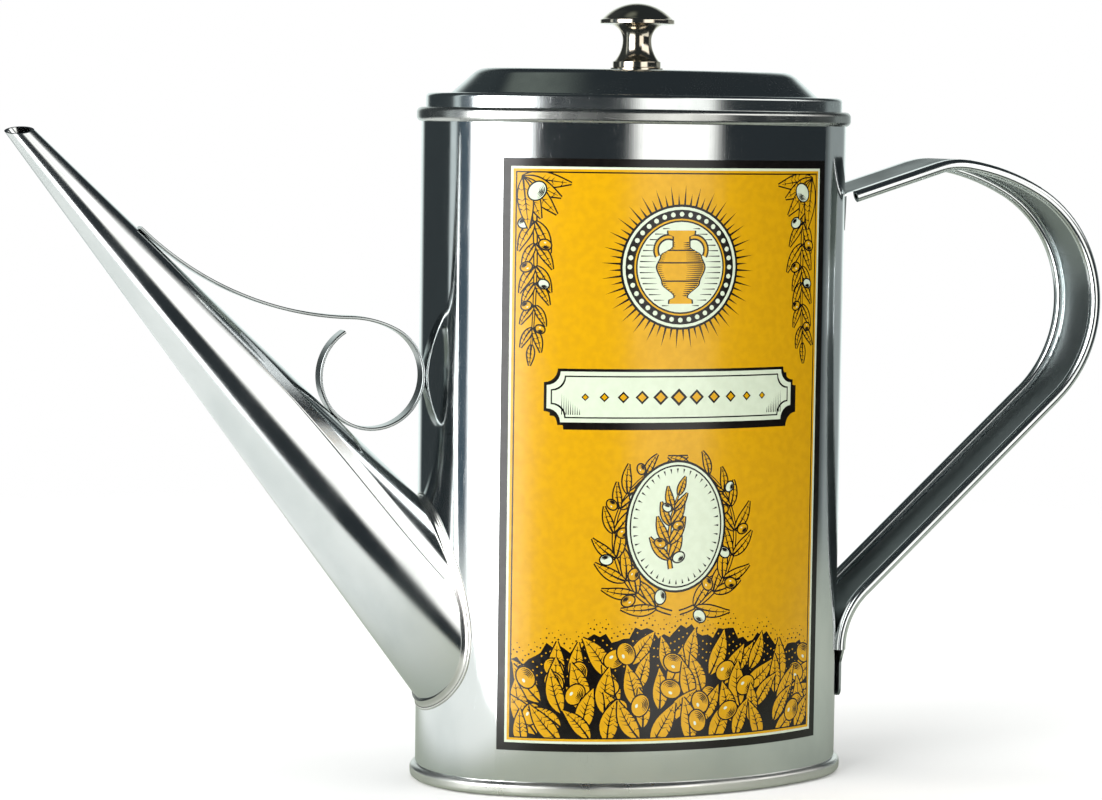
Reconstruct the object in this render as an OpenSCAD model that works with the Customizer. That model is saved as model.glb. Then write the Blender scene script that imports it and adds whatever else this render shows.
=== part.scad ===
// Olive oil tin: oval sheet-metal can with a conical spout, scroll brace,
// strap handle, loose lid with a turned knob, and a front label.
// Units mm, +Z up. Origin: middle of the can, on the table. Spout to -X, handle to +X,
// label to -Y.

/* [Body] */
// length of the oval can, spout side to handle side
body_length = 111; // [80:1:180]
// width of the oval can, front to back
body_width = 71; // [50:1:110]
// radius of the rounded ends of the oval
end_radius = 27.5; // [18:0.5:34]
// height of the can from the table to the top of its rim
body_height = 170; // [120:1:260]
// thickness of the sheet metal
sheet = 0.6; // [0.4:0.1:1.2]

/* [Rims] */
// height of the seamed rims at the top and bottom edge
rim_height = 3.6; // [2.4:0.2:6]
// how far the top rim stands out of the wall
top_rim_out = 1.2; // [0.6:0.1:2.5]
// how far the bottom rim stands out of the wall
base_rim_out = 1.4; // [0.6:0.1:2.5]
// how far the top rim reaches into the mouth
rim_in = 2.4; // [1.6:0.1:4]
// height of the base panel above the table
base_recess = 2.4; // [1.2:0.2:6]

/* [Lid] */
// inset of the lid's edge from the outside of the can
lid_inset = 1.1; // [0.4:0.1:3]
// height of the lid's upright edge
lid_edge = 3.5; // [2:0.1:8]
// inset of the foot of the dome
dome_foot = 7.3; // [5:0.1:12]
// rise of the dome above the flat ledge
dome_rise = 6.4; // [3:0.2:14]
// slope of the dome's flank from level
dome_slope = 42; // [30:1:60]
// radius of the dome's rounded shoulder
shoulder_radius = 5.6; // [3:0.2:8]
// depth of the ring that drops into the mouth
plug_depth = 9; // [5:0.5:20]
// clearance between that ring and the rim
plug_gap = 0.4; // [0.3:0.05:1]

/* [Knob] */
// height of the knob
knob_height = 16.4; // [12:0.5:26]
// widest diameter of the knob's cap
cap_diameter = 18.9; // [14:0.5:28]
// diameter of the knob's waist
waist_diameter = 7.3; // [6:0.1:12]
// diameter of the knob's foot
foot_diameter = 12.2; // [10:0.5:18]
// diameter of the screw that holds the knob
screw_diameter = 4; // [3:0.5:5]

/* [Spout] */
// angle of the spout's axis above level
spout_angle = 48.4; // [35:0.5:65]
// height at which that axis leaves the can
spout_z = 48.4; // [36:0.5:70]
// radius of the spout where its axis leaves the can
spout_radius = 16.8; // [11:0.2:20]
// half angle of the spout's cone
spout_taper = 5.2; // [3:0.1:7]
// height of the spout's mouth
mouth_z = 162.9; // [110:1:230]
// tilt of the mouth, rising towards the can
mouth_tilt = 8; // [0:1:30]
// width of the soldered flange round the spout's foot
flange_width = 1.3; // [0.6:0.1:3]

/* [Brace] */
// width of the brace strip
brace_width = 5; // [3:0.5:10]
// thickness of the brace strip
brace_thick = 0.8; // [0.5:0.1:1.5]
// outer radius of the scroll loop
loop_radius = 13.6; // [8:0.2:18]
// how far round its circle the loop stops short of closing
loop_open = 60; // [30:2:150]
// radius of the gentle bend over the loop
bend_radius = 26.4; // [18:0.2:60]
// length of the tail soldered along the spout
tail_length = 1; // [0.5:0.5:14]

/* [Handle] */
// width of the handle strip
handle_width = 24; // [16:1:34]
// diameter of the rolled hems along its edges
hem_diameter = 3; // [2.4:0.1:5]
// height at which the handle's top leaves the can
handle_top = 149.8; // [110:1:230]
// height of the handle's lower end
handle_foot = 18.5; // [8:0.5:40]
// rise of the first straight run above level
handle_rise = 17.9; // [5:0.5:30]
// length of that straight run
handle_run = 25; // [15:0.5:40]
// radius of the large bow behind the hand
bow_radius = 35; // [24:0.5:50]
// slope of the lower straight run from level
handle_drop = 43; // [35:0.5:60]

/* [Label] */
// bare metal between the bottom rim and the label
label_low_gap = 7.9; // [2:0.1:30]
// bare metal between the label and the top rim
label_top_gap = 8.6; // [2:0.1:30]
// half of the angle the label takes of the front's curve
label_half_angle = 31.6; // [20:0.2:32]
// thickness of the label sheet
label_thick = 0.2; // [0.15:0.05:0.5]

/* [Hidden] */
$fn = 96;
end_c = body_length/2 - end_radius;
half_w = body_width/2;
side_radius = (pow(end_c, 2) + pow(half_w, 2) - pow(end_radius, 2))/(2*(half_w - end_radius));
side_c = side_radius - half_w;
// bent strips are built of runs that slip this much into one another
nest = 0.04;
slip = 0.3;
joint_angle = atan2(side_c, end_c);
half_l = body_length/2;

lid_z = body_height;
ledge_z = lid_z + lid_edge;
dome_z = ledge_z + dome_rise;
shoulder_run = shoulder_radius*tan(dome_slope/2);
dome_edge = dome_foot + dome_rise/tan(dome_slope) + shoulder_run;

washer_thick = 0.6;
knob_z = dome_z + washer_thick;

label_low = rim_height + label_low_gap;
label_height = body_height - rim_height - label_top_gap - label_low;
foot_height = 1.7;
band_height = 1.1;
waist_z = 0.43*(knob_height);
under_z = 0.68*knob_height;
cap_rise = knob_height - under_z - band_height;

spout_dir = [-cos(spout_angle), sin(spout_angle)];
spout_nrm = [sin(spout_angle), cos(spout_angle)];
spout_in = 46;
spout_len = (mouth_z - spout_z)/sin(spout_angle) + 12;
bore_radius = spout_radius - sheet/cos(spout_taper);

// the brace lies along the spout's upper line and touches both spout and can
top_line = spout_angle - spout_taper;
line_n = [sin(top_line), cos(top_line)];
line_p = [-half_l, spout_z] + spout_radius*spout_nrm;
loop_x = -half_l - loop_radius;
loop_z = line_p[1] + (loop_radius - (loop_x - line_p[0])*line_n[0])/line_n[1];
loop_mid = loop_radius - brace_thick/2;
slope_loop = 27.8;
slope_bend = 1.4;
bend_n = [sin(slope_bend), cos(slope_bend)];
bend_c = [loop_x, loop_z] + (loop_mid - bend_radius)*[sin(slope_loop), cos(slope_loop)];
bend_p = bend_c + bend_radius*bend_n;
sweep_radius = ((bend_p - line_p)*line_n - brace_thick/2)/(1 - cos(top_line - slope_bend));
sweep_c = bend_p + sweep_radius*bend_n;

// the handle's outer face: straight, three bows, straight, and a bend back onto the can
hem_r = hem_diameter/2;
bow1 = [20, 26];
bow2 = [59, 21];
run_end = [half_l, handle_top] + handle_run*[cos(handle_rise), sin(handle_rise)];
phi0 = 90 + handle_rise;
phi1 = phi0 - bow1[1];
phi2 = phi1 - bow2[1];
phi3 = -(90 - handle_drop);
c1 = run_end - bow1[0]*[cos(phi0), sin(phi0)];
c2 = c1 + (bow1[0] - bow2[0])*[cos(phi1), sin(phi1)];
c3 = c2 + (bow2[0] - bow_radius)*[cos(phi2), sin(phi2)];
bow_end = c3 + bow_radius*[cos(phi3), sin(phi3)];
foot_bend = 19;
drop_h = phi3 - 90;
foot_x = half_l + sheet;
bend_x = foot_x + foot_bend*(1 + sin(drop_h));
drop_len = (bend_x - bow_end[0])/cos(drop_h);
drop_end = bow_end + drop_len*[cos(drop_h), sin(drop_h)];
c4 = drop_end + foot_bend*[-sin(drop_h), cos(drop_h)];
tab_drop = 10;
hem_stop = 54.2/55.5*half_l;
hem_low = c4[1];

steel = [0.74, 0.76, 0.77];
nickel = [0.8, 0.77, 0.7];
ochre = [0.84, 0.57, 0.12];

// filled oval of the can, moved outward by o
module oval(o = 0) {
  jx = end_c + (end_radius + o)*cos(joint_angle);
  for (s = [-1, 1]) translate([s*end_c, 0]) circle(end_radius + o);
  intersection() {
    translate([0, -side_c]) circle(side_radius + o, $fn = 240);
    translate([0, side_c]) circle(side_radius + o, $fn = 240);
    square([2*jx, 2*body_width], center = true);
  }
}

// a section made smaller by n on every side
module drawn_in(n) {
  intersection() {
    translate([n, 0]) children();
    translate([-n, 0]) children();
    translate([0, n]) children();
    translate([0, -n]) children();
  }
}

// carries a section drawn as [outward, up] once round the oval; short necks, a little
// slimmer than the section, tie the four arcs together where they meet
module round_oval() {
  gap = [slip/sin(joint_angle), slip/cos(joint_angle)];
  for (s = [-1, 1]) {
    intersection() {
      translate([s*end_c, 0, 0]) rotate_extrude($fn = 72) translate([end_radius, 0]) children();
      translate([s*gap[0], 0, -body_height]) linear_extrude(3*body_height)
        polygon([[s*end_c, 0], [3*s*end_c, -2*side_c], [3*s*end_c, 2*side_c]]);
    }
    intersection() {
      translate([0, -s*side_c, 0]) rotate_extrude($fn = 120) translate([side_radius, 0]) children();
      translate([0, s*gap[1], -body_height]) linear_extrude(3*body_height)
        polygon([[end_c, 0], [3*end_c, 2*s*side_c], [-3*end_c, 2*s*side_c], [-end_c, 0]]);
    }
    for (v = [-1, 1]) translate([s*end_c, 0, 0]) rotate([0, 0, 90 - s*(90 - v*joint_angle)])
      rotate([90, 0, 0]) linear_extrude(4*slip, center = true) translate([end_radius, 0])
        drawn_in(1.6*nest) children();
  }
}

// the whole can as one block, used to trim what is soldered onto it
module can_block() {
  translate([0, 0, -50]) linear_extrude(body_height + 150) oval();
}

// cone along the spout's axis; r is its radius where the axis leaves the can
module spout_cone(r) {
  k = tan(spout_taper);
  translate([-half_l, 0, spout_z]) rotate([0, spout_angle - 90, 0]) translate([0, 0, -spout_in])
    cylinder(h = spout_in + spout_len, r1 = r + k*spout_in, r2 = r - k*spout_len);
}

module body_shell() {
  color(steel) difference() {
    translate([0, 0, 0.8]) linear_extrude(body_height - 1.6) difference() {
      oval();
      oval(-sheet);
    }
    spout_cone(bore_radius);
  }
}

// rounded rim section from o0 to o1, h high, with a slot for the edge of the wall
module rim_section(o0, o1, r_out, r_in, h = rim_height) {
  difference() {
    union() {
      translate([o0, r_in]) square([o1 - o0 - r_out, h - 2*r_in]);
      translate([o0 + r_in, 0]) square([o1 - o0 - r_out - r_in, h]);
      translate([o1 - r_out - 0.1, r_out]) square([r_out + 0.1, h - 2*r_out]);
      for (z = [r_out, h - r_out]) translate([o1 - r_out, z]) circle(r_out, $fn = 24);
      for (z = [r_in, h - r_in]) translate([o0 + r_in, z]) circle(r_in, $fn = 12);
    }
    translate([-sheet, -1]) square([sheet, rim_height - 0.8 + 1]);
  }
}

module top_rim() {
  color(steel) translate([0, 0, body_height - rim_height]) round_oval()
    rim_section(-rim_in, top_rim_out, 1.3, 0.5);
}

module base_plate() {
  o0 = -sheet - 1;
  r_out = 1.3;
  r_in = 0.3;
  color(steel) {
    translate([0, 0, rim_height]) round_oval()
      mirror([0, 1]) rim_section(o0, base_rim_out, r_out, r_in, rim_height - nest);
    // flat foot that the can stands on
    linear_extrude(sheet) difference() {
      oval(base_rim_out - r_out - 0.1);
      oval(o0 + r_in + 0.1);
    }
    translate([0, 0, base_recess]) linear_extrude(sheet) oval(-sheet - 0.5);
  }
}

module spout() {
  color(steel) difference() {
    spout_cone(spout_radius);
    spout_cone(bore_radius);
    can_block();
    translate([-half_l + (mouth_z - spout_z)/tan(-spout_angle), 0, mouth_z])
      rotate([0, -mouth_tilt, 0]) translate([-40, -40, 0]) cube([80, 80, 60]);
  }
}

module spout_flange() {
  color(steel) difference() {
    intersection() {
      spout_cone(spout_radius + flange_width);
      translate([0, 0, rim_height]) linear_extrude(body_height/2) oval(0.5);
    }
    spout_cone(spout_radius);
    can_block();
  }
}

// bow of the brace round c from angle p0 to p1, centre line radius r, faces drawn in by n
module brace_bow(c, r, p0, p1, n) {
  translate([c[0], 0, c[1]]) rotate([90, 0, 0]) rotate([0, 0, p0])
    rotate_extrude(angle = p1 - p0) translate([r, 0])
      square([brace_thick - 2*n, brace_width - 2*n], center = true);
}

module scroll_brace() {
  e = slip*60/loop_mid;
  color(steel) {
    brace_bow([loop_x, loop_z], loop_mid, loop_open - 270 - slope_loop, 90 - slope_loop, 0);
    brace_bow(bend_c, bend_radius, 90 - slope_loop - e, 90 - slope_bend + e/4, nest);
    brace_bow(sweep_c, sweep_radius, 270 - top_line, 270 - slope_bend, 0);
    translate([sweep_c[0], 0, sweep_c[1]] - sweep_radius*[line_n[0], 0, line_n[1]])
      rotate([0, top_line, 0]) translate([-tail_length, nest - brace_width/2, nest - brace_thick/2])
        cube([tail_length + slip, brace_width - 2*nest, brace_thick - 2*nest]);
  }
}

// section of the handle, outer face at x = 0, faces drawn in by n
module strip_section(n = 0) {
  hy = handle_width/2 - hem_r;
  translate([n - sheet, n - hy - 0.3]) square([sheet - 2*n, 2*hy + 0.6 - 2*n]);
  for (s = [-1, 1]) translate([-hem_r, s*hy]) difference() {
    circle(hem_r - n, $fn = 24);
    circle(hem_r - sheet - 0.06 + n, $fn = 24);
  }
}

module web_section() {
  hy = handle_width/2 - hem_r;
  translate([nest - sheet, nest - hy]) square([sheet - 2*nest, 2*hy - 2*nest]);
}

// a straight piece of the handle from p, heading h, length l
module straight(p, h, l) {
  translate([p[0], 0, p[1]]) rotate([0, -h, 0]) rotate([90, 0, 0]) rotate([90, 0, 90])
    linear_extrude(l) children();
}

// a bow of the handle round c, outer face at radius r, from angle p0 to p1
module bow(c, r, p0, p1) {
  e = slip*60/r;
  translate([c[0], 0, c[1]]) rotate([90, 0, 0]) rotate([0, 0, p0 - e])
    rotate_extrude(angle = p1 - p0 + 2*e, $fn = 72) translate([r, 0]) children();
}

module handle_strip() {
  top_dir = [cos(handle_rise), sin(handle_rise)];
  back = 12;
  clear = (hem_stop - half_l + 1)/cos(handle_rise) + hem_diameter*sin(handle_rise);
  foot_half = 0.34*handle_width;
  hem_half = handle_width/2 - hem_diameter/2;
  foot_round = 2;
  foot_low = 7;
  color(steel) difference() {
    union() {
      straight([half_l, handle_top] - back*top_dir, handle_rise, back + 4) web_section();
      straight([half_l, handle_top] + clear*top_dir, handle_rise, handle_run - clear) strip_section();
      bow(c1, bow1[0], phi1, phi0) strip_section(nest);
      translate([c2[0], 0, c2[1]]) rotate([90, 0, 0]) rotate([0, 0, phi2])
        rotate_extrude(angle = phi1 - phi2, $fn = 72) translate([bow2[0], 0]) strip_section();
      bow(c3, bow_radius, phi3, phi2) strip_section(nest);
      straight(bow_end, drop_h, drop_len) strip_section();
      bow(c4, foot_bend, drop_h + 270, 180) mirror([1, 0]) strip_section(nest);
      // flat foot, narrowed below the hems, with rounded corners
      translate([half_l, 0, 0]) rotate([90, 0, 90]) linear_extrude(sheet) union() {
        translate([0, handle_foot + foot_round]) polygon([[-foot_half, 0], [foot_half, 0],
          [foot_half, foot_low], [hem_half, hem_low - handle_foot - foot_round + slip],
          [-hem_half, hem_low - handle_foot - foot_round + slip], [-foot_half, foot_low]]);
        translate([foot_round - foot_half, handle_foot])
          square([2*(foot_half - foot_round), foot_round + slip]);
        for (s = [-1, 1]) translate([s*(foot_half - foot_round), handle_foot + foot_round])
          circle(foot_round);
      }
    }
    can_block();
  }
  // tab bent down from the top end onto the can
  color(steel) intersection() {
    translate([0, 0, handle_top - tab_drop]) linear_extrude(tab_drop - 0.2) difference() {
      translate([end_c, 0]) circle(end_radius + sheet);
      translate([end_c, 0]) circle(end_radius);
    }
    translate([half_l - 10, 0, handle_top]) rotate([90, 0, 90]) linear_extrude(20)
      polygon([[-9, 1], [9, 1], [6, -tab_drop - 1], [-6, -tab_drop - 1]]);
  }
}

// sector of a thin ring, outer radius r, from angle a0 to a1, faces drawn in by n
module arc_band(c, r, a0, a1, n) {
  far = 3*r;
  translate(c) intersection() {
    difference() {
      circle(r - n, $fn = 32);
      circle(r - sheet + n, $fn = 32);
    }
    polygon([[0, 0], far*[cos(a0), sin(a0)], far*[cos((a0 + a1)/2), sin((a0 + a1)/2)],
      far*[cos(a1), sin(a1)]]);
  }
}

// the lid's sheet: upright edge, rolled corner, ledge and flank, shoulder, flat top
module lid_cap() {
  edge = -lid_inset;
  r0 = 1;
  u = [sin(dome_slope), cos(dome_slope)];
  c = [-dome_edge, lid_edge + dome_rise - shoulder_radius];
  flank = c + shoulder_radius*u;
  foot_in = -dome_foot - sheet*tan(dome_slope/2);
  e = slip*60/shoulder_radius;
  color(steel) difference() {
    union() {
      translate([0, 0, lid_z]) {
        linear_extrude(lid_edge - r0) difference() {
          oval(edge);
          oval(edge - sheet);
        }
        round_oval() arc_band([edge - r0, lid_edge - r0], r0, -12, 102, nest);
        round_oval() polygon([[edge - r0, lid_edge - sheet], [edge - r0, lid_edge],
          [-dome_foot, lid_edge], flank, flank - sheet*u, [foot_in, lid_edge - sheet]]);
        round_oval() arc_band(c, shoulder_radius, 90 - dome_slope - e, 90 + e, nest);
      }
      translate([0, 0, dome_z - sheet]) linear_extrude(sheet) oval(-dome_edge);
    }
    cylinder(h = 2*body_height, d = screw_diameter + 0.2);
  }
}

module lid_plug() {
  o1 = -rim_in - plug_gap;
  color(steel) translate([0, 0, lid_z]) round_oval() union() {
    translate([o1 - sheet, -plug_depth]) square([sheet, plug_depth + sheet]);
    translate([o1 - sheet, 0]) square([-lid_inset - sheet - o1 + sheet, sheet]);
  }
}

module knob_washer() {
  color(nickel) translate([0, 0, dome_z]) rotate_extrude()
    translate([screw_diameter/2 + 0.1, 0])
      square([foot_diameter/2 + 0.6 - screw_diameter/2 - 0.1, washer_thick]);
}

module lid_knob() {
  wr = waist_diameter/2;
  fr = foot_diameter/2;
  cr = cap_diameter/2;
  low = waist_z - foot_height;
  high = under_z - waist_z;
  lr = (pow(fr - 0.3 - wr, 2) + pow(low, 2))/(2*(fr - 0.3 - wr));
  hr = (pow(cr - 0.7 - wr, 2) + pow(high, 2))/(2*(cr - 0.7 - wr));
  top_r = (pow(cr - 0.4, 2) + pow(cap_rise, 2))/(2*cap_rise);
  color(nickel) translate([0, 0, knob_z]) difference() {
    rotate_extrude() {
      square([fr, foot_height]);
      difference() {
        translate([0, foot_height]) square([fr - 0.3, low]);
        translate([wr + lr, waist_z]) circle(lr);
      }
      difference() {
        translate([0, waist_z]) square([cr - 0.7, high]);
        translate([wr + hr, waist_z]) circle(hr);
      }
      translate([0, under_z]) square([cr, band_height]);
      intersection() {
        translate([0, under_z + band_height]) square([cr, cap_rise + 1]);
        translate([0, knob_height - top_r]) circle(top_r);
      }
    }
    translate([0, 0, -1]) cylinder(h = 1 + 0.62*knob_height, d = screw_diameter);
  }
}

module knob_screw() {
  color(nickel) {
    translate([0, 0, dome_z - sheet - 1]) cylinder(h = 1 + sheet + washer_thick + 0.55*knob_height,
      d = screw_diameter);
    translate([0, 0, dome_z - sheet - 2.2]) difference() {
      cylinder(h = 2.2, d = 2*screw_diameter);
      translate([-screw_diameter, -0.5, -1]) cube([2*screw_diameter, 1, 2]);
    }
  }
}

module label() {
  color(ochre) translate([0, side_c, label_low]) rotate([0, 0, -90 - label_half_angle])
    rotate_extrude(angle = 2*label_half_angle, $fn = 240)
      translate([side_radius, 0]) square([label_thick, label_height]);
}

body_shell();
top_rim();
base_plate();
spout();
spout_flange();
scroll_brace();
handle_strip();
lid_cap();
lid_plug();
knob_washer();
lid_knob();
knob_screw();
label();
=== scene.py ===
"""Looks of an olive oil tin with a spout: polished tinplate, a nickel knob and a printed front panel."""
import math
import random

import bmesh
import bpy
from mathutils import Matrix, Vector
from mathutils.geometry import delaunay_2d_cdt


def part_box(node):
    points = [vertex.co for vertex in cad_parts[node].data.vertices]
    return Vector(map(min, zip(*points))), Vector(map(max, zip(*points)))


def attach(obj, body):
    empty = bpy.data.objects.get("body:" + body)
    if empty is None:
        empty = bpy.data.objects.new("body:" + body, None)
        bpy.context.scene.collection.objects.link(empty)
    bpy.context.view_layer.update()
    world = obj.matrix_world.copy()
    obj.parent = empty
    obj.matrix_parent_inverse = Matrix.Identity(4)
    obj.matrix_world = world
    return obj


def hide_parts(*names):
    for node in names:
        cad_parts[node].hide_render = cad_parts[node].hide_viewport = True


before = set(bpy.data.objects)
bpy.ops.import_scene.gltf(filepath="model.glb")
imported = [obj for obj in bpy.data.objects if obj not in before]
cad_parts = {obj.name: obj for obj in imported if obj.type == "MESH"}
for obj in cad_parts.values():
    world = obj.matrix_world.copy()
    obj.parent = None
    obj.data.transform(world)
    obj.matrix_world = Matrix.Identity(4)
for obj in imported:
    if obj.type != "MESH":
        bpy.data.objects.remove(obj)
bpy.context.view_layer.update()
MM = 0.001


def box_mm(node):
    """Lowest and highest corner of a CAD node in millimetres."""
    return tuple(Vector(c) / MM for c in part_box(node))


# the can's oval is four arcs: two round ends and two shallow sides, in millimetres
END_CENTRE, SIDE_CENTRE = 28.0, 45.0
SHEET = 0.6
WALL_LOW, WALL_HIGH = box_mm("body_shell")
END_RADIUS = WALL_HIGH.x - END_CENTRE
SIDE_RADIUS = END_RADIUS + math.hypot(END_CENTRE, SIDE_CENTRE)
RIM_LOW, RIM_HIGH = box_mm("top_rim")
BASE_HIGH = box_mm("base_plate")[1]
LID_LOW, LID_HIGH = box_mm("lid_cap")


def ink(hex_code):
    """sRGB hex to linear RGBA."""
    srgb = [int(hex_code[i:i + 2], 16) / 255 for i in (0, 2, 4)]
    return tuple(c / 12.92 if c <= 0.04045 else ((c + 0.055) / 1.055) ** 2.4 for c in srgb) + (1.0,)


def add(tree, kind, values=None, **settings):
    """Adds a node; settings are its properties, values its input values or the sockets linked to them."""
    n = tree.nodes.new(kind)
    for name, value in settings.items():
        setattr(n, name, value)
    for key, value in (values or {}).items():
        if isinstance(value, bpy.types.NodeSocket):
            tree.links.new(value, n.inputs[key])
        else:
            n.inputs[key].default_value = value
    return n


def math_of(tree, operation, a, b=0.0):
    return add(tree, "ShaderNodeMath", {0: a, 1: b}, operation=operation).outputs[0]


def ramp(tree, value, lo, hi, low=0.0, high=1.0):
    """Smooth step from low at lo to high at hi."""
    return add(tree, "ShaderNodeMapRange", {"Value": value, "From Min": lo, "From Max": hi, "To Min": low,
                                            "To Max": high}, interpolation_type="SMOOTHSTEP").outputs[0]


def set_camera():
    cam = bpy.data.cameras.new("camera")
    cam.lens, cam.sensor_width, cam.sensor_fit = 111.989, 36.0, "HORIZONTAL"
    cam.clip_start, cam.clip_end = 0.05, 20.0
    obj = bpy.data.objects.new("camera", cam)
    bpy.context.scene.collection.objects.link(obj)
    right, up = Vector((0.95266, -0.30373, 0.01343)), Vector((0.01168, 0.08070, 0.99667))
    back = -Vector((0.30380, 0.94933, -0.08043))
    turn = Matrix((right, up, back)).transposed().to_4x4()
    obj.matrix_world = Matrix.Translation(Vector((-0.28635, -0.827155, 0.166252))) @ turn
    bpy.context.scene.camera = obj


# What the metal mirrors, a dark studio with soft boxes and pale walls: name, heading from the label
# side towards the handle, height angle, the fades of both, strength and tint. Angles in degrees.
PANELS = (
    ("left_softbox", (-80, -38), (-32, 34), (5, 9), 6.0, "FFFFFF"),
    ("left_haze", (-98, -76), (-32, 40), (7, 9), 0.16, "8FB2CC"),
    ("left_strip", (-110, -101), (-22, 40), (2, 8), 0.75, "EAF4F4"),
    ("left_gloom", (-176, -98), (-25, 60), (7, 10), 0.02, "DDF0EC"),
    ("front_softbox", (2, 33), (-32, 22), (4.5, 7), 1.5, "FFFDF8"),
    ("high_softbox", (22, 84), (15, 37), (6, 3), 1.6, "FFFDFA"),
    ("wall_right", (93, 134), (-40, 14), (4, 12), 0.36, "E4EEEC"),
    ("wall_back", (137, 188), (-40, 24), (8, 12), 1.0, "F4FFFC"),
    ("table_left", (-178, -84), (-60, -22), (6, 6), 0.45, "E6EEEC"),
    ("ceiling_glow", (-190, -120), (70, 84), (20, 7), 0.2, "DDE8D8"),
)
DARK_ROOM = (0.024, 0.030, 0.034, 1)


def window(tree, value, lo, hi, soft):
    """1 between lo and hi, fading to 0 over the soft width at both ends."""
    return math_of(tree, "MULTIPLY", ramp(tree, value, lo - soft, lo + soft),
                   ramp(tree, value, hi + soft, hi - soft))


def set_studio():
    """The camera sees a white background; metal, glass and the bounced light see the studio."""
    world = bpy.data.worlds.new("studio")
    bpy.context.scene.world = world
    world.use_nodes = True
    t = world.node_tree
    t.nodes.clear()
    xyz = add(t, "ShaderNodeSeparateXYZ", {0: add(t, "ShaderNodeTexCoord").outputs["Generated"]}).outputs
    heading = math_of(t, "ARCTAN2", xyz[0], math_of(t, "MULTIPLY", xyz[1], -1.0))
    heading = math_of(t, "MULTIPLY", heading, 180 / math.pi)
    height = math_of(t, "MULTIPLY", math_of(t, "ARCSINE", xyz[2]), 180 / math.pi)
    full_turn = math_of(t, "MULTIPLY", 360.0, math_of(t, "LESS_THAN", heading, 0.0))
    right_hand = math_of(t, "ADD", heading, full_turn)
    left_hand = math_of(t, "SUBTRACT", right_hand, 360.0)
    total = add(t, "ShaderNodeRGB").outputs[0]
    total.default_value = DARK_ROOM
    for _, across, up, fade, strength, tint in PANELS:
        turned = right_hand if across[1] > 180 else left_hand if across[0] < -180 else heading
        shape = math_of(t, "MULTIPLY", window(t, turned, *across, fade[0]), window(t, height, *up, fade[1]))
        glow = add(t, "ShaderNodeMix", {"Factor": math_of(t, "MULTIPLY", shape, strength), 6: (0, 0, 0, 1),
                                        7: ink(tint)}, data_type="RGBA", clamp_factor=False).outputs[2]
        total = add(t, "ShaderNodeMix", {"Factor": 1.0, 6: total, 7: glow}, data_type="RGBA",
                    blend_type="ADD").outputs[2]
    seen = add(t, "ShaderNodeLightPath").outputs["Is Camera Ray"]
    colour = add(t, "ShaderNodeMix", {"Factor": seen, 6: total, 7: (1, 1, 1, 1)}, data_type="RGBA").outputs[2]
    back = add(t, "ShaderNodeBackground", {"Color": colour, "Strength": 1.0})
    add(t, "ShaderNodeOutputWorld", {"Surface": back.outputs[0]})

    lamp = bpy.data.lights.new("overhead_softbox", "AREA")
    lamp.shape, lamp.size, lamp.size_y, lamp.energy = "RECTANGLE", 1.6, 1.6, 22.0
    obj = bpy.data.objects.new("overhead_softbox", lamp)
    obj.location = (0.0, 0.1, 1.5)
    obj.visible_glossy = False
    bpy.context.scene.collection.objects.link(obj)


def set_floor():
    """Pale table that fades into the white background 0.3 to 0.7 m from the tin. The metal doesn't see its front part,
    where the soft boxes stand low, and sees the rest with painted shade and a painted pool of light."""
    size, z = 3.0, -0.0002
    mesh = bpy.data.meshes.new("floor")
    mesh.from_pydata([(-size, -size, z), (size, -size, z), (size, size, z), (-size, size, z)], [], [(0, 1, 2, 3)])
    obj = bpy.data.objects.new("floor", mesh)
    bpy.context.scene.collection.objects.link(obj)
    mat = bpy.data.materials.new("matt_white_table")
    mat.use_nodes = True
    t = mat.node_tree
    t.nodes.clear()
    path = add(t, "ShaderNodeLightPath").outputs
    where = add(t, "ShaderNodeTexCoord").outputs["Object"]
    place = add(t, "ShaderNodeSeparateXYZ", {0: where}).outputs
    distance = add(t, "ShaderNodeVectorMath", {0: where}, operation="LENGTH").outputs["Value"]
    in_front = math_of(t, "MULTIPLY", ramp(t, place[1], -0.095, -0.13), path["Is Glossy Ray"])
    far = ramp(t, distance, 0.30, 0.70)
    hidden = math_of(t, "MAXIMUM", in_front, far)
    # what the metal mirrors of the table: painted shade, grey B4BAAE near the tin, turning into a painted pool of light
    # F2F5F2 left of x -0.12 m, where the left soft box stands
    reflected_floor_painted_light = add(t, "ShaderNodeMix", {"Factor": ramp(t, place[0], -0.06, -0.12), 6: ink("B4BAAE"),
                                        7: ink("F2F5F2")}, data_type="RGBA").outputs[2]
    colour = add(t, "ShaderNodeMix", {"Factor": path["Is Glossy Ray"], 6: ink("F2F2F0"), 7: reflected_floor_painted_light},
                 data_type="RGBA").outputs[2]
    matt = add(t, "ShaderNodeBsdfDiffuse", {"Color": colour}).outputs[0]
    lift = math_of(t, "MULTIPLY", path["Is Camera Ray"], 0.2)
    glow = add(t, "ShaderNodeEmission", {"Color": (1, 1, 1, 1), "Strength": lift}).outputs[0]
    lit = add(t, "ShaderNodeAddShader", {0: matt, 1: glow}).outputs[0]
    clear = add(t, "ShaderNodeBsdfTransparent").outputs[0]
    both = add(t, "ShaderNodeMixShader", {0: hidden, 1: lit, 2: clear}).outputs[0]
    add(t, "ShaderNodeOutputMaterial", {"Surface": both})
    mesh.materials.append(mat)


def principled(name, **values):
    mat = bpy.data.materials.new(name)
    mat.use_nodes = True
    t = mat.node_tree
    shader = t.nodes["Principled BSDF"]
    for key, value in values.items():
        shader.inputs[key.replace("_", " ")].default_value = value
    return mat, t, shader


def noise_of(tree, where, stretch, detail=3.0, turn=(0, 0, 0)):
    """Noise whose grain has the given size in millimetres along each axis of the turned piece."""
    turned = add(tree, "ShaderNodeMapping", {0: where, "Rotation": turn}).outputs[0]
    fine = add(tree, "ShaderNodeMapping", {0: turned, "Scale": tuple(1 / (s * MM) for s in stretch)}).outputs[0]
    return add(tree, "ShaderNodeTexNoise", {"Vector": fine, "Scale": 1.0, "Detail": detail}).outputs[0]


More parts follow.
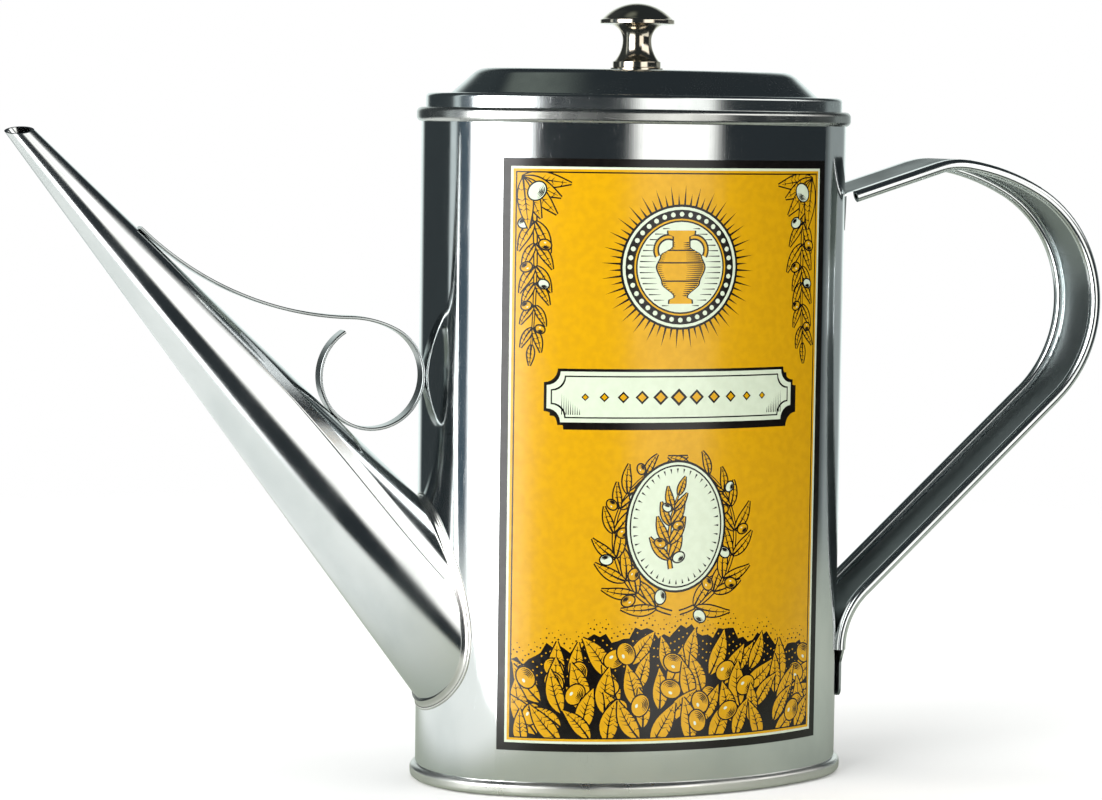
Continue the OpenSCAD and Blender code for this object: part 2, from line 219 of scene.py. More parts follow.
def bump_of(tree, height, depth_mm, below=None):
    """Relief of the given depth in millimetres, on top of another one."""
    values = {"Height": height, "Strength": 1.0, "Distance": depth_mm * MM}
    if below:
        values["Normal"] = below
    return add(tree, "ShaderNodeBump", values).outputs[0]


def polished_metal(name, colour, shade, roughness, draw=(0.5, 0.5, 30), turn=(0, 0, 0), lines=0.003,
                   dents=0.06, scratches=0.1):
    """Polished sheet or turned metal. Colour and shade are the clean and the handled tint; draw is the grain
    of its polishing lines in mm; lines and dents are reliefs in mm, far flatter than the sheet is thick."""
    mat, t, shader = principled(name, Metallic=1.0)
    where = add(t, "ShaderNodeTexCoord").outputs["Object"]
    cloud = noise_of(t, where, (14, 14, 22), 5.0)
    drawn = noise_of(t, where, draw, 4.0, turn)
    wave = noise_of(t, where, (26, 26, 40), 1.0)
    # hairline scratches: thin streaks nearly along the polishing lines, 0.2 mm wide so that they show
    streak = tuple(0.2 if size < 1 else 14.0 for size in draw)
    hair = math_of(t, "MAXIMUM", *(ramp(t, noise_of(t, where, streak, 1.0, (slant, turn[1] + slant, 0)), 0.68, 0.78)
                                   for slant in (0.05, -0.08)))
    rough = math_of(t, "ADD", ramp(t, cloud, 0.3, 0.7, roughness * 0.75, roughness * 1.35),
                    math_of(t, "MULTIPLY", hair, scratches))
    tint = add(t, "ShaderNodeMix", {"Factor": ramp(t, cloud, 0.35, 0.75, 0.0, 0.8), 6: ink(colour),
                                    7: ink(shade)}, data_type="RGBA").outputs[2]
    t.links.new(tint, shader.inputs["Base Color"])
    t.links.new(rough, shader.inputs["Roughness"])
    relief = bump_of(t, wave, dents)
    relief = bump_of(t, drawn, lines, relief)
    t.links.new(relief, shader.inputs["Normal"])
    return mat


def paint_shade_on_web(mat):
    """The strap's web gets painted shade, a darker grey tint than the rolled hems that dims its reflections; it is also
    rougher than the hems.
    """
    t = mat.node_tree
    shader = t.nodes["Principled BSDF"]
    where = add(t, "ShaderNodeSeparateXYZ", {0: add(t, "ShaderNodeTexCoord").outputs["Object"]}).outputs
    half, hem = box_mm("handle_strip")[1].y, 2.9
    off_middle = math_of(t, "ABSOLUTE", where[1])
    web = ramp(t, off_middle, (half - hem) * MM, (half - hem - 0.5) * MM)
    bright = shader.inputs["Base Color"].links[0].from_socket
    # painted shade: the web's darker tint 8C9494 dims what it mirrors, while the hems keep the bright tint
    tint = add(t, "ShaderNodeMix", {"Factor": web, 6: bright, 7: ink("8C9494")}, data_type="RGBA").outputs[2]
    t.links.new(tint, shader.inputs["Base Color"])
    burnished = shader.inputs["Roughness"].links[0].from_socket
    rough = math_of(t, "ADD", burnished, math_of(t, "MULTIPLY", web, 0.27))
    t.links.new(rough, shader.inputs["Roughness"])


def enamel(name, colour, shade, roughness=0.2):
    """Litho ink baked on tinplate under a clear varnish: even colour with a faint mottle, a soft gloss."""
    mat, t, shader = principled(name, IOR=1.5)
    where = add(t, "ShaderNodeTexCoord").outputs["Object"]
    mottle = noise_of(t, where, (2.0, 2.0, 2.0), 6.0)
    tint = add(t, "ShaderNodeMix", {"Factor": ramp(t, mottle, 0.3, 0.7), 6: ink(colour), 7: ink(shade)},
               data_type="RGBA").outputs[2]
    t.links.new(tint, shader.inputs["Base Color"])
    t.links.new(ramp(t, mottle, 0.3, 0.7, roughness * 0.9, roughness * 1.2), shader.inputs["Roughness"])
    varnish = bump_of(t, noise_of(t, where, (0.9, 0.9, 0.9), 2.0), 0.002)
    t.links.new(varnish, shader.inputs["Normal"])
    return mat


def new_piece(name, mesh, body, node=None):
    """Puts a finished mesh into the scene, on a CAD body, and lets it stand for a CAD node."""
    obj = bpy.data.objects.new(name, mesh)
    bpy.context.scene.collection.objects.link(obj)
    for face in mesh.polygons:
        face.use_smooth = True
    obj.modifiers.new("even_shading", "WEIGHTED_NORMAL").keep_sharp = True
    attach(obj, body)
    if node:
        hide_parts(node)
    return obj


def close_shell(mesh, crease=40):
    """Merges doubles, points all faces outwards and keeps edges sharp where they turn more than crease."""
    work = bmesh.new()
    work.from_mesh(mesh)
    bmesh.ops.remove_doubles(work, verts=work.verts, dist=1e-7)
    bmesh.ops.recalc_face_normals(work, faces=work.faces)
    work.to_mesh(mesh)
    work.free()
    mesh.set_sharp_from_angle(angle=math.radians(crease))
    return mesh


def sweep_tree():
    """Carries a section along a path. Both come as lines of one mesh, where "section" marks the section's
    points and "facing" turns the section's first axis at each point of the path."""
    tree = bpy.data.node_groups.new("section_along_path", "GeometryNodeTree")
    for name, kind in (("Geometry", "NodeSocketGeometry"), ("Unevenness", "NodeSocketFloat"),
                       ("Grain", "NodeSocketFloat"), ("Seed", "NodeSocketFloat"),
                       ("Closed Ends", "NodeSocketBool"), ("Finish", "NodeSocketMaterial")):
        tree.interface.new_socket(name, in_out="INPUT", socket_type=kind)
    tree.interface.new_socket("Piece", in_out="OUTPUT", socket_type="NodeSocketGeometry")
    given = add(tree, "NodeGroupInput").outputs
    marked = add(tree, "GeometryNodeInputNamedAttribute", {"Name": "section"}, data_type="BOOLEAN").outputs[0]
    facing = add(tree, "GeometryNodeInputNamedAttribute", {"Name": "facing"}, data_type="FLOAT_VECTOR").outputs[0]
    split = add(tree, "GeometryNodeSeparateGeometry", {0: given["Geometry"], 1: marked}, domain="POINT").outputs
    section = add(tree, "GeometryNodeMeshToCurve", {0: split["Selection"]}).outputs[0]
    path = add(tree, "GeometryNodeMeshToCurve", {0: split["Inverted"]}).outputs[0]
    path = add(tree, "GeometryNodeSetCurveNormal", {"Curve": path, "Normal": facing}, mode="FREE").outputs[0]
    lumps = add(tree, "ShaderNodeTexNoise", {"W": given["Seed"], "Scale": given["Grain"], "Detail": 2.0},
                noise_dimensions="4D").outputs[0]
    swell = math_of(tree, "MULTIPLY", math_of(tree, "SUBTRACT", lumps, 0.5), given["Unevenness"])
    size = math_of(tree, "ADD", 1.0, swell)
    piece = add(tree, "GeometryNodeCurveToMesh", {"Curve": path, "Profile Curve": section, "Scale": size,
                                                  "Fill Caps": given["Closed Ends"]}).outputs[0]
    piece = add(tree, "GeometryNodeRealizeInstances", {0: piece}).outputs[0]
    piece = add(tree, "GeometryNodeSetMaterial", {"Geometry": piece, "Material": given["Finish"]}).outputs[0]
    add(tree, "NodeGroupOutput", {0: piece})
    return tree


def swept_mesh(name, path, section, finish, looped=True, open_section=False, **sizes):
    """Mesh of a section of (outward, across) points in mm, carried along a path of (point, facing) in mm."""
    n, m = len(path), len(section)
    mesh = bpy.data.meshes.new(name)
    points = [Vector(p) * MM for p, _ in path] + [Vector((o, a, 0)) * MM for o, a in section]
    edges = [(i, (i + 1) % n) for i in range(n if looped else n - 1)]
    edges += [(n + i, n + (i + 1) % m) for i in range(m - 1 if open_section else m)]
    mesh.from_pydata(points, edges, [])
    mesh.attributes.new("section", "BOOLEAN", "POINT").data.foreach_set("value", [False] * n + [True] * m)
    facing = [c for _, f in path for c in f] + [0.0, 0.0, 1.0] * m
    mesh.attributes.new("facing", "FLOAT_VECTOR", "POINT").data.foreach_set("vector", facing)
    maker = bpy.data.objects.new(name, mesh)
    bpy.context.scene.collection.objects.link(maker)
    sweep = maker.modifiers.new("sweep", "NODES")
    sweep.node_group = SWEEP
    values = {"Unevenness": 0.0, "Grain": 60.0, "Seed": 4.0, "Closed Ends": not looped, "Finish": finish, **sizes}
    for label, value in values.items():
        sweep[SWEEP.interface.items_tree[label].identifier] = value
    shaped = bpy.data.meshes.new_from_object(maker.evaluated_get(bpy.context.evaluated_depsgraph_get()))
    bpy.data.objects.remove(maker)
    shaped.name = name
    return shaped


def oval_path(z, step=1.0):
    """Round the can's outside at height z, clockwise seen from above."""
    joint, turn = math.atan2(SIDE_CENTRE, END_CENTRE), 2 * math.pi
    arcs = ((END_CENTRE, 0, END_RADIUS, joint, -joint),
            (0, SIDE_CENTRE, SIDE_RADIUS, -joint, joint - turn / 2),
            (-END_CENTRE, 0, END_RADIUS, joint - turn / 2, -joint - turn / 2),
            (0, -SIDE_CENTRE, SIDE_RADIUS, -joint - turn / 2, joint - turn))
    path = []
    for x, y, radius, start, stop in arcs:
        count = math.ceil(radius * (start - stop) / step)
        for i in range(count):
            a = start + (stop - start) * i / count
            path.append(((x + radius * math.cos(a), y + radius * math.sin(a), z), (math.cos(a), math.sin(a), 0)))
    return path


def arc(x, y, radius, start, stop, count=6):
    """Points of an arc, angles in degrees."""
    turns = [math.radians(start + (stop - start) * i / count) for i in range(count + 1)]
    return [(x + radius * math.cos(a), y + radius * math.sin(a)) for a in turns]


def rim_outline(inner, outer, height, r_out, r_in):
    """A seamed rim with the slot that holds the wall, drawn over z 0 to height, its slot opening upwards."""
    slot = 0.8
    return (arc(inner + r_in, r_in, r_in, 180, 270) + arc(outer - r_out, r_out, r_out, 270, 360, 8)
            + arc(outer - r_out, height - r_out, r_out, 0, 90, 8)
            + [(0.0, height), (0.0, slot), (-SHEET, slot), (-SHEET, height)]
            + arc(inner + r_in, height - r_in, r_in, 90, 180))


def make_top_rim(finish):
    height = RIM_HIGH.z - RIM_LOW.z
    outline = rim_outline(-2.4, RIM_HIGH.x - WALL_HIGH.x, height, 1.3, 0.5)
    section = [(o, height - z) for o, z in outline]
    mesh = swept_mesh("top_rim_bead", oval_path(RIM_LOW.z), section, finish, Unevenness=0.03, Grain=45.0)
    new_piece("top_rim_bead", close_shell(mesh), "can", "top_rim")


def fill_between(mesh, heights, hole_radius):
    """Closes the open middle of a swept sheet at both heights, round a screw hole where there is one."""
    work = bmesh.new()
    work.from_mesh(mesh)
    bmesh.ops.remove_doubles(work, verts=work.verts, dist=1e-7)
    rings = []
    for z in heights:
        edges = [e for e in work.edges if e.is_boundary and all(abs(v.co.z - z * MM) < 1e-5 for v in e.verts)]
        ring = []
        if hole_radius:
            turns = [2 * math.pi * i / 48 for i in range(48)]
            ring = [work.verts.new(Vector((hole_radius * math.cos(a), hole_radius * math.sin(a), z)) * MM)
                    for a in turns]
            edges += [work.edges.new((ring[i - 1], ring[i])) for i in range(48)]
        bmesh.ops.triangle_fill(work, edges=edges, use_beauty=True)
        rings.append(ring)
    low, high = rings
    for i in range(len(low)):
        work.faces.new((low[i - 1], low[i], high[i], high[i - 1]))
    work.to_mesh(mesh)
    work.free()


def make_base(finish):
    """Seamed base ring and the panel recessed in it."""
    panel_low, panel_high, inset = 2.4, 3.0, 20.0
    inner = -SHEET - 1
    outline = rim_outline(inner, BASE_HIGH.x - WALL_HIGH.x, BASE_HIGH.z, 1.3, 0.3)
    section = [(-inset, panel_low), (inner, panel_low)] + outline[:-1] + [(inner, panel_high), (-inset, panel_high)]
    mesh = swept_mesh("base_ring_and_panel", oval_path(0.0), section, finish, open_section=True)
    fill_between(mesh, (panel_low, panel_high), 0)
    new_piece("base_ring_and_panel", close_shell(mesh), "can", "base_plate")


def make_lid(finish):
    """Lid sheet: upright edge, rolled corner, flat ledge, sloping flank, rounded shoulder and flat top."""
    edge, corner, ledge = LID_HIGH.x - WALL_HIGH.x, 1.0, 3.5
    foot, slope, foot_bend, shoulder, inset = -7.3, 42.0, 1.2, 5.6, -20.0
    high = LID_HIGH.z - LID_LOW.z
    half = math.tan(math.radians(slope / 2))
    top = foot - (high - ledge) / math.tan(math.radians(slope)) - shoulder * half
    bend = (foot + foot_bend * half, ledge + foot_bend)
    outside = (arc(edge - corner, ledge - corner, corner, 0, 90, 8) + arc(*bend, foot_bend, 270, 270 - slope, 5)
               + arc(top, high - shoulder, shoulder, 90 - slope, 90, 14) + [(inset, high)])
    inside = ([(inset, high - SHEET)] + arc(top, high - shoulder, shoulder - SHEET, 90, 90 - slope, 14)
              + arc(*bend, foot_bend + SHEET, 270 - slope, 270, 5)
              + arc(edge - corner, ledge - corner, corner - SHEET, 90, 0, 5))
    section = inside + [(edge - SHEET, 0.0), (edge, 0.0)] + outside
    mesh = swept_mesh("lid_sheet", oval_path(LID_LOW.z), section, finish, open_section=True)
    screw_hole = 2.1
    fill_between(mesh, (LID_HIGH.z - SHEET, LID_HIGH.z), screw_hole)
    new_piece("lid_sheet", close_shell(mesh), "lid", "lid_cap")


def make_lid_ring(finish):
    """Ring under the lid that drops into the mouth, with the flange that joins it to the lid's edge."""
    low, high = box_mm("lid_plug")
    outer = LID_HIGH.x - WALL_HIGH.x - SHEET
    wall, deep, thick = -2.8, low.z - LID_LOW.z, high.z - LID_LOW.z
    section = [(wall - SHEET, deep), (wall, deep), (wall, 0), (outer, 0), (outer, thick), (wall - SHEET, thick)]
    mesh = swept_mesh("lid_ring", oval_path(LID_LOW.z), section, finish)
    new_piece("lid_ring", close_shell(mesh), "lid", "lid_plug")


# the spout's cone, in millimetres and degrees
SPOUT_ANGLE, SPOUT_TAPER, SPOUT_Z, SPOUT_RADIUS = 48.4, 5.2, 48.4, 16.8
SPOUT_ALONG = Vector((-math.cos(math.radians(SPOUT_ANGLE)), 0, math.sin(math.radians(SPOUT_ANGLE))))
SPOUT_UP = Vector((math.sin(math.radians(SPOUT_ANGLE)), 0, math.cos(math.radians(SPOUT_ANGLE))))
SPOUT_FRONT = Vector((0, -1, 0))
SPOUT_ROOT = Vector((WALL_LOW.x, 0, SPOUT_Z))
# the mouth's middle height, its rise towards the can in degrees, and its dip per mm towards the label side
MOUTH_Z, MOUTH_TILT, MOUTH_DIP = 162.9, 8.0, 0.31
MOUTH_X = SPOUT_ROOT.x - (MOUTH_Z - SPOUT_Z) / math.tan(math.radians(SPOUT_ANGLE))


def on_spout(along, turn, lift=0.0):
    """Point and outward direction on the cone; turn goes from the label side towards the top, in degrees."""
    a, taper = math.radians(turn), math.radians(SPOUT_TAPER)
    out = math.cos(a) * SPOUT_FRONT + math.sin(a) * SPOUT_UP
    radius = SPOUT_RADIUS - math.tan(taper) * along + lift
    return SPOUT_ROOT + along * SPOUT_ALONG + radius * out, out * math.cos(taper) + SPOUT_ALONG * math.sin(taper)


def in_can(p):
    return (p.x + END_CENTRE) ** 2 + p.y ** 2 < END_RADIUS ** 2


def below_mouth(p):
    return p.z < MOUTH_Z + math.tan(math.radians(MOUTH_TILT)) * (p.x - MOUTH_X) + MOUTH_DIP * p.y


def end_of_line(turn, lift, within):
    """How far along the cone the line at this turn stays within a shape."""
    low, high = -40.0, 170.0
    while high - low > 1e-4:
        middle = (low + high) / 2
        low, high = (middle, high) if within(on_spout(middle, turn, lift)[0]) else (low, middle)
    return low


def make_spout(finish):
    """Rolled cone from the can's wall to the open mouth, whose label side dips so that the bore shows."""
    steps, turns = 24, [2 * i for i in range(180)]
    verts, faces = [], []
    for lift in (0.0, -SHEET):
        lines = [(end_of_line(turn, lift, in_can), end_of_line(turn, lift, below_mouth)) for turn in turns]
        for j in range(steps + 1):
            s = (j if lift == 0 else steps - j) / steps
            verts += [on_spout(root + (mouth - root) * s, turn, lift)[0] * MM
                      for turn, (root, mouth) in zip(turns, lines)]
    around, rings = len(turns), 2 * (steps + 1)
    for k in range(rings):
        for i in range(around):
            a, b = k * around, (k + 1) % rings * around
            faces.append((a + i, a + (i + 1) % around, b + (i + 1) % around, b + i))
    mesh = bpy.data.meshes.new("spout_cone")
    mesh.from_pydata(verts, [], faces)
    mesh.materials.append(finish)
    new_piece("spout_cone", close_shell(mesh), "can", "spout")


def make_spout_seam(finish):
    """Lap of the rolled sheet: a 0.3 mm step that wanders up the cone and thins out on its other side."""
    path = []
    for i in range(50):
        along = 2.5 + 1.6 * i
        s, sink = along / 85, max(0.0, along - 45) / 36
        point, out = on_spout(along, 15.5 + 22.5 * s * s * (3 - 2 * s), -0.4 * sink)
        path.append((point, out))
    section = [(-0.05, 0.0), (0.30, 0.0), (0.33, 0.12), (0.30, 0.35), (0.02, 3.2), (-0.05, 3.2)]
    mesh = swept_mesh("spout_lap_seam", path, section, finish, looped=False)
    new_piece("spout_lap_seam", close_shell(mesh), "can")


def make_solder_collar(finish):
    """Soldered collar round the foot of the spout: a fillet, a fine crease and a thin flange on the can."""
    path = []
    for i in range(180):
        turn = 2 * i
        p = on_spout(end_of_line(turn, 0.0, in_can), turn)[0]
        path.append((p, ((p.x + END_CENTRE) / END_RADIUS, p.y / END_RADIUS, 0)))
    section = [(-0.04, -0.3), (1.0, -0.3), (0.78, 0.1), (0.52, 0.5), (0.38, 0.9), (0.33, 1.15), (0.26, 1.22),
               (0.32, 1.32), (0.30, 1.7), (0.20, 1.88), (0.08, 1.95), (-0.04, 1.95)]
    mesh = swept_mesh("solder_collar", path, section, finish, Unevenness=0.22, Grain=160.0, Seed=7.0)
    new_piece("solder_collar", close_shell(mesh, 60), "can", "spout_flange")


def make_brace(finish):
    """Scroll brace: one strip with rounded edges, from the open loop over the top and down onto the spout."""
    thick, width, loop, bend = 0.8, 5.0, 13.6, 26.4
    loop_open, loop_slope, bend_slope, tail = 60.0, 27.8, 1.4, 1.0
    line_slope = SPOUT_ANGLE - SPOUT_TAPER
    unit = lambda degrees: Vector((math.sin(math.radians(degrees)), math.cos(math.radians(degrees))))
    line, line_at = unit(line_slope), Vector((WALL_LOW.x, SPOUT_Z)) + SPOUT_RADIUS * unit(SPOUT_ANGLE)
    loop_at = Vector((WALL_LOW.x - loop, 0))
    loop_at.y = line_at.y + (loop - (loop_at.x - line_at.x) * line.x) / line.y
    middle = loop - thick / 2
    bend_at = loop_at + (middle - bend) * unit(loop_slope)
    crest = bend_at + bend * unit(bend_slope)
    sweep = ((crest - line_at).dot(line) - thick / 2) / (1 - math.cos(math.radians(line_slope - bend_slope)))
    sweep_at = crest + sweep * unit(bend_slope)
    path = []
    runs = ((loop_at, middle, loop_open - 270 - loop_slope, 90 - loop_slope, 110, 1),
            (bend_at, bend, 90 - loop_slope, 90 - bend_slope, 20, 1),
            (sweep_at, sweep, 270 - bend_slope, 270 - line_slope, 60, -1))
    for at, radius, start, stop, count, side in runs:
        for i in range(count + (side < 0)):
            a = math.radians(start + (stop - start) * i / count)
            way = Vector((math.cos(a), 0, math.sin(a)))
            path.append((Vector((at.x, 0, at.y)) + radius * way, side * way))
    last, out = path[-1]
    path.append((last + tail * Vector((-math.cos(math.radians(line_slope)), 0, math.sin(math.radians(line_slope)))), out))
    t, w, r = thick / 2, width / 2, 0.34
    section = (arc(t - r, w - r, r, 0, 90) + arc(r - t, w - r, r, 90, 180)
               + arc(r - t, r - w, r, 180, 270) + arc(t - r, r - w, r, 270, 360))
    mesh = swept_mesh("brace_strip", path, section, finish, looped=False)
    new_piece("brace_strip", close_shell(mesh, 60), "can", "scroll_brace")


def make_knob(finish):
    """Turned knob: foot, waist, cap with an upright band and a low dome, edges broken by 0.2 mm."""
    low, high = box_mm("lid_knob")
    tall, cap, foot, waist, edge = high.z - low.z, high.x, 6.1, 3.65, 0.2
    foot_z, waist_z, under_z, band = 1.7, 0.43 * tall, 0.68 * tall, 1.1
    bore, bore_z = 2.0, 0.62 * tall
    neck, lip = foot - 0.3, cap - 0.7
    low_r = ((neck - waist) ** 2 + (waist_z - foot_z) ** 2) / (2 * (neck - waist))
    high_r = ((lip - waist) ** 2 + (under_z - waist_z) ** 2) / (2 * (lip - waist))
    rise = tall - under_z - band
    dome_r = ((cap - 0.4) ** 2 + rise ** 2) / (2 * rise)
    low_a = math.degrees(math.asin((waist_z - foot_z) / low_r))
    high_a = math.degrees(math.asin(min(1.0, (under_z - waist_z) / high_r)))
    dome_a = math.degrees(math.asin((cap - 0.4) / dome_r))
    profile = ([(0, bore_z), (bore, bore_z), (bore, 0)] + arc(foot - edge, edge, edge, 270, 360, 4)
               + arc(foot - edge, foot_z - edge, edge, 0, 90, 4)
               + arc(waist + low_r, waist_z, low_r, 180 + low_a, 180, 16)
               + arc(waist + high_r, waist_z, high_r, 180, 180 - high_a, 16)[1:]
               + arc(cap - edge, under_z + edge, edge, 270, 360, 4)
               + arc(cap - edge, under_z + band - edge, edge, 0, 60, 4)
               + arc(0, tall - dome_r, dome_r, 90 - dome_a, 90, 16))
    mesh = turned_mesh("knob", profile, low.z, 112)
    mesh.materials.append(finish)
    new_piece("knob", close_shell(mesh, 45), "lid", "lid_knob")


def turned_mesh(name, profile, z, count):
    """Mesh turned round the vertical axis from (radius, height) points in mm; both ends lie on the axis."""
    verts, faces, rings = [], [], []
    for radius, height in profile:
        on_axis = radius < 1e-6
        rings.append([len(verts) + i for i in range(1 if on_axis else count)])
        for i in range(1 if on_axis else count):
            a = 2 * math.pi * i / count
            verts.append(Vector((radius * math.cos(a), radius * math.sin(a), z + height)) * MM)
    for lower, upper in zip(rings, rings[1:]):
        for i in range(count):
            quad = [lower[i % len(lower)], lower[(i + 1) % len(lower)], upper[(i + 1) % len(upper)],
                    upper[i % len(upper)]]
            faces.append(list(dict.fromkeys(quad)))
    mesh = bpy.data.meshes.new(name)
    mesh.from_pydata(verts, [], faces)
    return mesh


# the printed panel's artwork, in millimetres: across the front from its middle, up from its lower edge
PANEL_LOW, PANEL_HIGH = box_mm("label")
PANEL_THICK = 0.2
PANEL_RADIUS = SIDE_RADIUS + PANEL_THICK
PANEL_HALF = PANEL_RADIUS * math.asin(PANEL_HIGH.x / PANEL_RADIUS)
PANEL_TALL = PANEL_HIGH.z - PANEL_LOW.z
INKS = ("black", "ochre", "cream")


def way(angle):
    return Vector((math.cos(angle), math.sin(angle)))


def pen_line(start, heading, length, bend=0.0, count=10):
    """Points of a line that turns by bend over its length, angles in radians."""
    points = [Vector(start)]
    for i in range(count):
        points.append(points[-1] + way(heading + bend * (i + 0.5) / count) * length / count)
    return points


def band(line, widths):
    """Outline of a stroke along a line, widths given at each point."""
    left, right = [], []
    for i, p in enumerate(line):
        d = (line[min(i + 1, len(line) - 1)] - line[max(i - 1, 0)]).normalized()
        side = Vector((-d.y, d.x)) * max(widths[i], 0.06) / 2
        left.append(p + side)
        right.append(p - side)
    return left + right[::-1]


def taper(first, last, count):
    return [first + (last - first) * i / (count - 1) for i in range(count)]


def oval(middle, a, b, turn=0.0, count=20):
    u, v = way(turn), way(turn + math.pi / 2)
    return [Vector(middle) + u * a * math.cos(2 * math.pi * i / count) + v * b * math.sin(2 * math.pi * i / count)
            for i in range(count)]


def leaf(art, base, heading, length, width, bend=0.4, fill="ochre", veins=5):
    """Engraved leaf: outline, midrib, side veins and a hatched lower half."""
    steps = 10
    spine = pen_line(base, heading, length, bend, steps)
    body = [width * max(math.sin(math.pi * (i / steps) ** 0.8), 0.03) for i in range(steps + 1)]
    art.append(("black", band(spine, [w + 0.75 for w in body])))
    art.append((fill, band(spine, body)))
    art.append(("black", band(spine[:steps], taper(0.55, 0.12, steps))))
    for k in range(veins):
        i = 2 + round(k * (steps - 4) / max(veins - 1, 1))
        d = (spine[i + 1] - spine[i - 1]).normalized()
        across = Vector((-d.y, d.x))
        for side in (-1, 1):
            tip = spine[i] + (d * 0.75 + across * side) * 0.36 * body[i]
            art.append(("black", [spine[i] - d * 0.17, spine[i] + d * 0.17, tip]))
        edge = spine[i] - across * 0.5 * body[i]
        art.append(("black", [edge - d * 0.2, edge + d * 0.2, edge + (across + d * 0.5) * 0.28 * body[i]]))


def olive(art, middle, heading, length, width, fill="ochre"):
    """Olive with crescent hatching and a bare highlight."""
    art.append(("black", oval(middle, length / 2 + 0.38, width / 2 + 0.38, heading)))
    art.append((fill, oval(middle, length / 2, width / 2, heading)))
    for k in range(4):
        size = 0.84 - 0.17 * k
        turns = [-2.2 + 0.28 * i for i in range(9)]
        line = [Vector(middle) + way(heading) * size * length / 2 * math.cos(a)
                + way(heading + math.pi / 2) * size * width / 2 * math.sin(a) for a in turns]
        art.append(("black", band(line, [0.3 * math.sin(math.pi * i / 8) for i in range(9)])))
    shine = Vector(middle) + way(heading + 2.0) * width * 0.22
    art.append(("cream", oval(shine, length * 0.10, width * 0.08, heading, 8)))


def twig(art, start, heading, length, bend, pairs, leaf_long, chance, fill="ochre", fruit=True):
    """Olive twig: a stem with pairs of leaves, and an olive at every other pair."""
    count = 24
    stem = pen_line(start, heading, length, bend, count)
    art.append(("black", band(stem, taper(1.5, 0.6, count + 1))))
    art.append(("ochre", band(stem, taper(0.7, 0.15, count + 1))))
    for k in range(pairs):
        i = 1 + round((k + 0.35) * (count - 2) / pairs)
        along = heading + bend * i / count
        size = leaf_long * (1 - 0.35 * k / pairs)
        for side in (-1, 1):
            long = size * chance.uniform(0.9, 1.1)
            leaf(art, stem[i], along + side * chance.uniform(0.6, 0.85), long, long * 0.27, -side * 0.45, fill, 4)
            if fruit and k % 2 == (side > 0):
                spot = stem[i] + way(along + side * 1.45) * size * 0.30
                olive(art, spot, along + side * 1.2, size * 0.36, size * 0.27, "cream" if k % 3 == 0 else fill)
    leaf(art, stem[-1], heading + bend, leaf_long * 0.62, leaf_long * 0.19, 0.0, fill, 4)


def inset_box(inset):
    u, low, high = PANEL_HALF - inset, inset, PANEL_TALL - inset
    return [(-u, low), (u, low), (u, high), (-u, high)]


def border(art, ink_name, outer, inner):
    """A plain frame line between two insets, as four bars."""
    a, b = inset_box(outer), inset_box(inner)
    for i in range(4):
        art.append((ink_name, [a[i], a[(i + 1) % 4], b[(i + 1) % 4], b[i]]))


def oil_jar(art, foot, tall):
    """Two-handled oil jar, hatched on its right."""
    girth = ((0, 0.16), (0.05, 0.16), (0.09, 0.08), (0.28, 0.26), (0.50, 0.34), (0.66, 0.28), (0.78, 0.11),
             (0.92, 0.11), (0.95, 0.19), (1.0, 0.19))

    def half(s):
        for (s0, w0), (s1, w1) in zip(girth, girth[1:]):
            if s <= s1:
                x = (s - s0) / (s1 - s0)
                return (w0 + (w1 - w0) * x * x * (3 - 2 * x)) * tall
        return girth[-1][1] * tall

    heights = [i / 36 for i in range(37)]
    foot = Vector(foot)
    shape = lambda grow: ([foot + Vector((half(s) + grow, s * tall)) for s in heights]
                          + [foot + Vector((-half(s) - grow, s * tall)) for s in reversed(heights)])
    for side in (-1, 1):
        start = foot + Vector((side * 0.1, 0.89)) * tall
        line = pen_line(start, math.pi / 2 - side * math.pi / 2 + side * 0.5, 0.46 * tall, -side * 2.6, 14)
        art.append(("black", band(line, [0.085 * tall] * 15)))
        art.append(("ochre", band(line, [0.035 * tall] * 15)))
    art.append(("black", shape(0.4)))
    art.append(("ochre", shape(0.0)))
    for s in heights[4:31]:
        right, z = half(s), s * tall
        line = [foot + Vector((right * x, z + 0.25 * (x - 0.5) ** 2)) for x in (0.25, 0.45, 0.65, 0.82, 0.97)]
        art.append(("black", band(line, [0.05, 0.14, 0.22, 0.3, 0.34])))
        art.append(("black", band([foot + Vector((-right * x, z)) for x in (0.97, 0.9, 0.8)], [0.26, 0.16, 0.05])))
    for s in (0.30, 0.55, 0.72):
        art.append(("black", [foot + Vector((x * half(s), s * tall + dz)) for x, dz in
                              ((-1, 0), (1, 0), (1, 0.35), (-1, 0.35))]))


def jar_emblem(art, middle):
    """Round emblem with the jar, a ring of pearls and short rays."""
    rays = 64
    for k in range(rays):
        d, reach = way(2 * math.pi * (k + 0.5) / rays), 20.2 if k % 2 else 18.2
        across = Vector((-d.y, d.x)) * 0.3
        foot = Vector(middle) + d * 15.0
        art.append(("black", [foot - across, foot + across, Vector(middle) + d * reach]))
    for ink_name, radius in (("black", 15.4), ("cream", 14.8), ("black", 14.1), ("ochre", 11.9), ("black", 11.5),
                             ("cream", 11.1)):
        art.append((ink_name, oval(middle, radius, radius, 0, 48)))
    pearls = 36
    for k in range(pearls):
        art.append(("cream", oval(Vector(middle) + way(2 * math.pi * k / pearls) * 13.0, 0.62, 0.62, 0, 8)))
    for k in range(-7, 8):
        v = middle[1] + 1.35 * k
        reach = math.sqrt(10.6 ** 2 - (1.35 * k) ** 2)
        for side in (-1, 1):
            line = [Vector((middle[0] + side * x, v)) for x in (reach, 0.8 * reach, 0.62 * reach)]
            art.append(("black", band(line, [0.3, 0.2, 0.05])))
    oil_jar(art, (middle[0], middle[1] - 9.0), 18.0)


